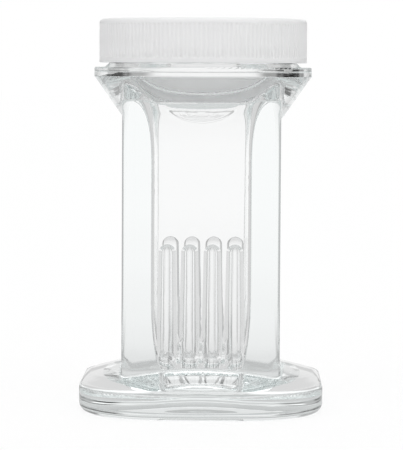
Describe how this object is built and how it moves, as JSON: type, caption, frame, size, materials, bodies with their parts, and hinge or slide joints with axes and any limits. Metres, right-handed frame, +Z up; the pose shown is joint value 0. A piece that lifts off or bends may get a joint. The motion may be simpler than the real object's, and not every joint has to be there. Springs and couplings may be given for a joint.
{
  "type": "slide staining jar",
  "caption": "Square pressed-glass staining jar on a wide foot, with ribbed slots that hold microscope slides upright and a ribbed plastic screw cap.",
  "frame": {"origin": "middle of the foot's underside, in the plane that the jar rests on", "axes": "+Z up through the mouth and cap; the two ribbed walls of the chamber face -Y and +Y, so a slide's broad faces look along X"},
  "size_m": [0.0636, 0.0636, 0.1022],
  "materials": {
    "jar_glass": "polished pressed glass",
    "cap_plastic": "satin moulded polypropylene",
    "liner_foam": "smooth foamed polyethylene"
  },
  "bodies": {
    "jar": {"jar": "jar_glass"},
    "liner": {"cap_liner": "liner_foam"},
    "cap": {"screw_cap": "cap_plastic"}
  },
  "joints": [
    {"name": "cap_lift", "type": "slide", "parent": "jar", "child": "liner", "axis": [0, 0, 1], "range_m": [0, 0.0127]},
    {"name": "cap_turn", "type": "hinge", "parent": "liner", "child": "cap", "pos_m": [0, 0, 0.1004], "axis": [0, 0, 1], "range_deg": [0, 1080]}
  ],
  "couplings": [
    {"joint": "cap_lift", "follows": "cap_turn", "m_per_rad": 0.0006737}
  ]
}
